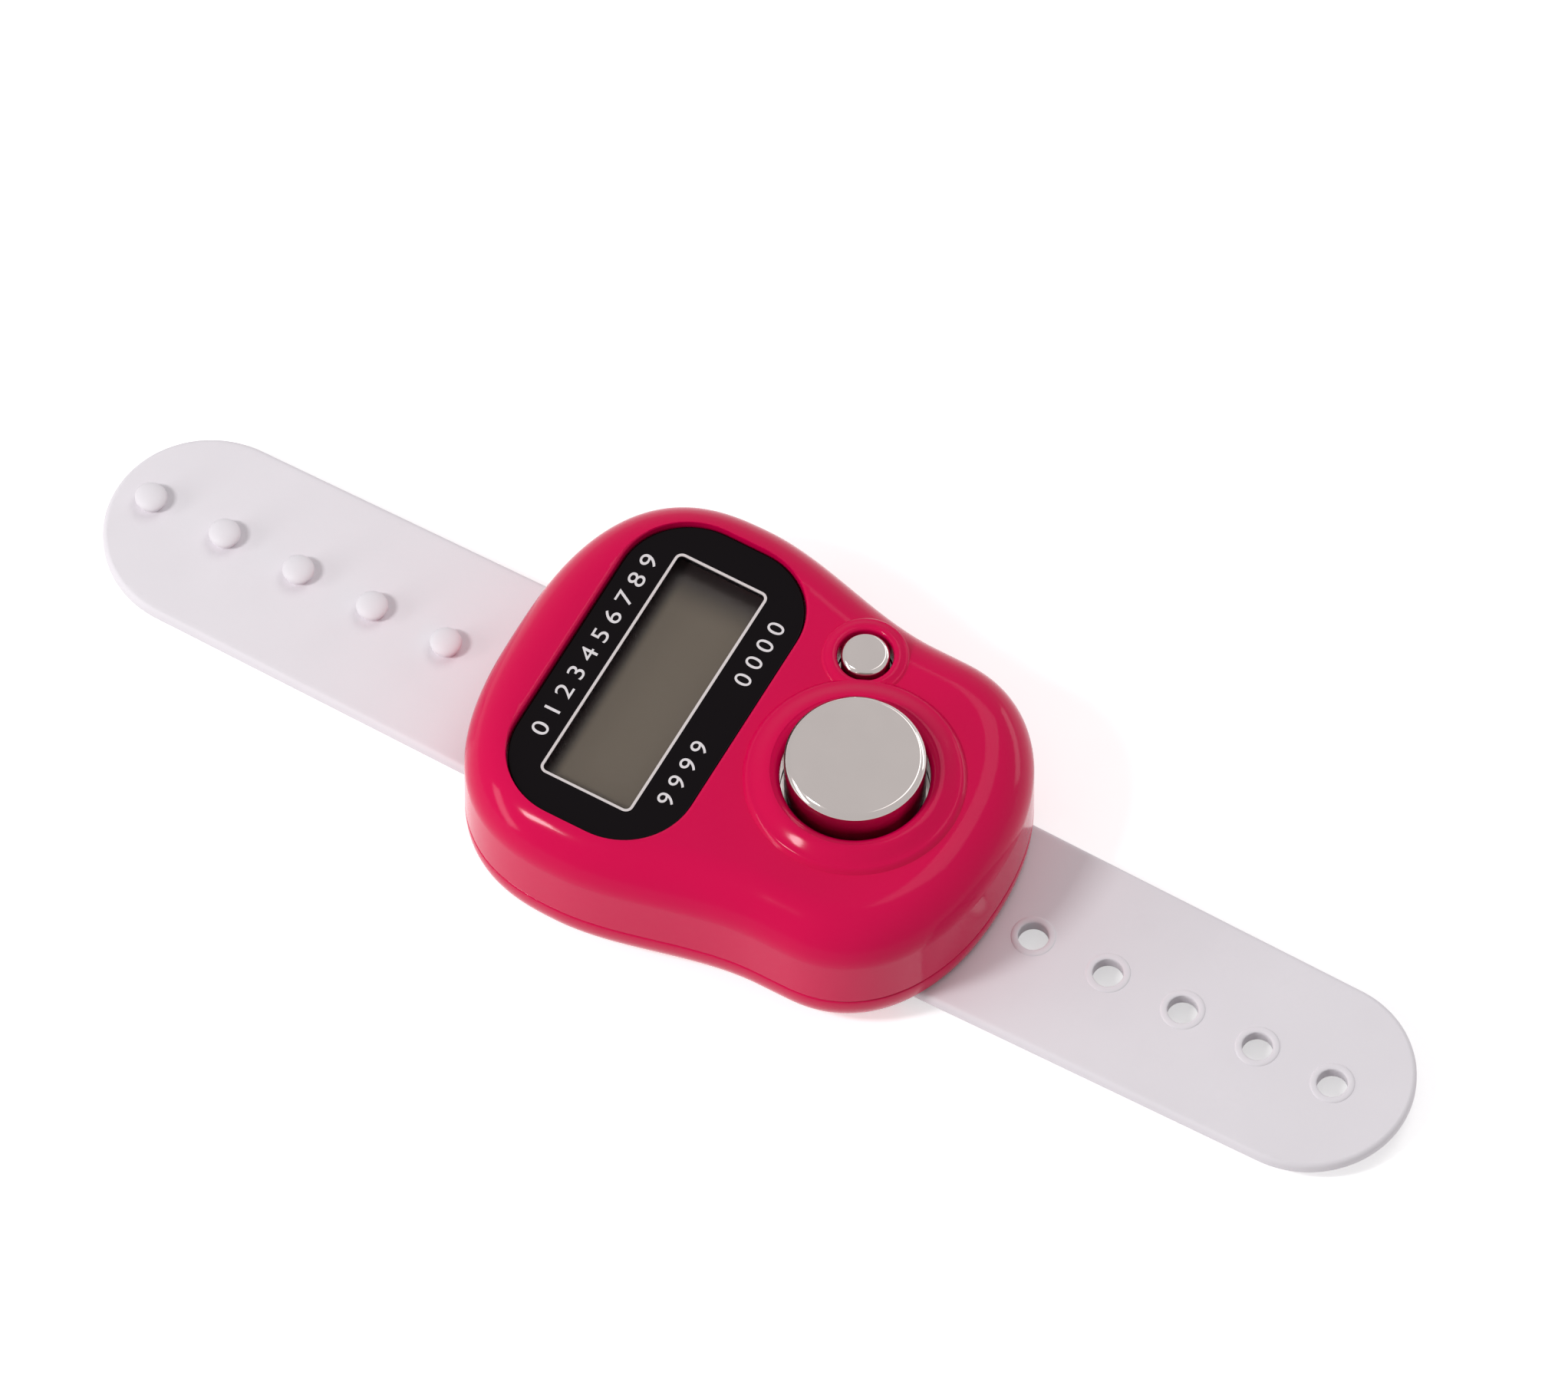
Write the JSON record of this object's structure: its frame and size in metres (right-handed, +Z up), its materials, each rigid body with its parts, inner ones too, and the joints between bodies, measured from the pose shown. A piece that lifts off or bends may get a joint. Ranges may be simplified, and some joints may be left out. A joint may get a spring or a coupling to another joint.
{
  "type": "finger tally counter",
  "caption": "Finger-worn digital tally counter: glossy rounded case with a display window, a large chrome count button and a small chrome reset button, on a soft translucent strap.",
  "frame": {"origin": "middle of the underside, where the counter stands: bottom centre of the bounding box", "axes": "+X along the strap towards the count button, +Y towards the reset button, +Z up out of the display"},
  "size_m": [0.104, 0.0314, 0.0157],
  "materials": {
    "case_plastic": "glossy moulded crimson-pink plastic",
    "window_acrylic": "gloss black printed acrylic with a clear view",
    "tape": "white double-sided tape",
    "display_glass": "grey-olive display glass",
    "reflector_film": "satin silver film",
    "carrier_plastic": "white moulded plastic",
    "zebra_rubber": "striped conductive rubber",
    "board": "green lacquered board",
    "epoxy": "black epoxy",
    "tin": "tinned metal can",
    "ceramic": "tan ceramic with tinned ends",
    "button_chrome": "bright chrome plating",
    "dome_rubber": "grey keypad rubber",
    "steel": "nickel-plated steel",
    "screw_steel": "zinc-plated steel",
    "silicone": "frosted translucent silicone"
  },
  "bodies": {
    "case": {"front_shell": "case_plastic", "back_shell": "case_plastic", "display_window": "window_acrylic", "window_tape": "tape", "lcd_front_glass": "display_glass", "lcd_rear_glass": "display_glass", "lcd_reflector": "reflector_film", "lcd_carrier": "carrier_plastic", "zebra_strip": "zebra_rubber", "circuit_board": "board", "chip_blob": "epoxy", "crystal": "tin", "capacitor_1": "ceramic", "capacitor_2": "ceramic", "resistor": "epoxy", "count_dome": "dome_rubber", "reset_dome": "dome_rubber", "coin_cell": "steel", "negative_contact": "steel", "positive_contact": "steel", "case_screw_1": "screw_steel", "case_screw_2": "screw_steel", "case_screw_3": "screw_steel", "case_screw_4": "screw_steel", "strap_middle": "silicone"},
    "count_button": {"count_button": "button_chrome"},
    "reset_button": {"reset_button": "button_chrome"},
    "hole_tail_1": {"hole_tail_1": "silicone"},
    "hole_tail_2": {"hole_tail_2": "silicone"},
    "hole_tail_3": {"hole_tail_3": "silicone"},
    "hole_tail_4": {"hole_tail_4": "silicone"},
    "hole_tail_5": {"hole_tail_5": "silicone"},
    "hole_tail_6": {"hole_tail_6": "silicone"},
    "stud_tail_1": {"stud_tail_1": "silicone"},
    "stud_tail_2": {"stud_tail_2": "silicone"},
    "stud_tail_3": {"stud_tail_3": "silicone"},
    "stud_tail_4": {"stud_tail_4": "silicone"},
    "stud_tail_5": {"stud_tail_5": "silicone"},
    "stud_tail_6": {"stud_tail_6": "silicone"}
  },
  "joints": [
    {"name": "count_press", "type": "slide", "parent": "case", "child": "count_button", "axis": [0, 0, -1], "range_m": [0, 0.001], "stiffness_N_per_m": 900, "deforming": ["count_dome"]},
    {"name": "reset_press", "type": "slide", "parent": "case", "child": "reset_button", "axis": [0, 0, -1], "range_m": [0, 0.0007], "stiffness_N_per_m": 700, "deforming": ["reset_dome"]},
    {"name": "hole_bend_1", "type": "hinge", "parent": "case", "child": "hole_tail_1", "pos_m": [0.0142, 0, 0.0012], "axis": [0, 1, 0], "range_deg": [0, 80], "stiffness_Nm_per_rad": 0.004},
    {"name": "hole_bend_2", "type": "hinge", "parent": "hole_tail_1", "child": "hole_tail_2", "pos_m": [0.0193, 0, 0.0012], "axis": [0, 1, 0], "range_deg": [0, 22], "stiffness_Nm_per_rad": 0.004},
    {"name": "hole_bend_3", "type": "hinge", "parent": "hole_tail_2", "child": "hole_tail_3", "pos_m": [0.0253, 0, 0.0012], "axis": [0, 1, 0], "range_deg": [0, 22], "stiffness_Nm_per_rad": 0.004},
    {"name": "hole_bend_4", "type": "hinge", "parent": "hole_tail_3", "child": "hole_tail_4", "pos_m": [0.0313, 0, 0.0012], "axis": [0, 1, 0], "range_deg": [0, 22], "stiffness_Nm_per_rad": 0.004},
    {"name": "hole_bend_5", "type": "hinge", "parent": "hole_tail_4", "child": "hole_tail_5", "pos_m": [0.0373, 0, 0.0012], "axis": [0, 1, 0], "range_deg": [0, 22], "stiffness_Nm_per_rad": 0.004},
    {"name": "hole_bend_6", "type": "hinge", "parent": "hole_tail_5", "child": "hole_tail_6", "pos_m": [0.0433, 0, 0.0012], "axis": [0, 1, 0], "range_deg": [0, 22], "stiffness_Nm_per_rad": 0.004},
    {"name": "stud_bend_1", "type": "hinge", "parent": "case", "child": "stud_tail_1", "pos_m": [-0.0142, 0, 0.0012], "axis": [0, -1, 0], "range_deg": [0, 96], "stiffness_Nm_per_rad": 0.004},
    {"name": "stud_bend_2", "type": "hinge", "parent": "stud_tail_1", "child": "stud_tail_2", "pos_m": [-0.0222, 0, 0.0012], "axis": [0, -1, 0], "range_deg": [0, 30], "stiffness_Nm_per_rad": 0.004},
    {"name": "stud_bend_3", "type": "hinge", "parent": "stud_tail_2", "child": "stud_tail_3", "pos_m": [-0.0282, 0, 0.0012], "axis": [0, -1, 0], "range_deg": [0, 30], "stiffness_Nm_per_rad": 0.004},
    {"name": "stud_bend_4", "type": "hinge", "parent": "stud_tail_3", "child": "stud_tail_4", "pos_m": [-0.0342, 0, 0.0012], "axis": [0, -1, 0], "range_deg": [0, 30], "stiffness_Nm_per_rad": 0.004},
    {"name": "stud_bend_5", "type": "hinge", "parent": "stud_tail_4", "child": "stud_tail_5", "pos_m": [-0.0402, 0, 0.0012], "axis": [0, -1, 0], "range_deg": [0, 30], "stiffness_Nm_per_rad": 0.004},
    {"name": "stud_bend_6", "type": "hinge", "parent": "stud_tail_5", "child": "stud_tail_6", "pos_m": [-0.0462, 0, 0.0012], "axis": [0, -1, 0], "range_deg": [0, 30], "stiffness_Nm_per_rad": 0.004}
  ]
}
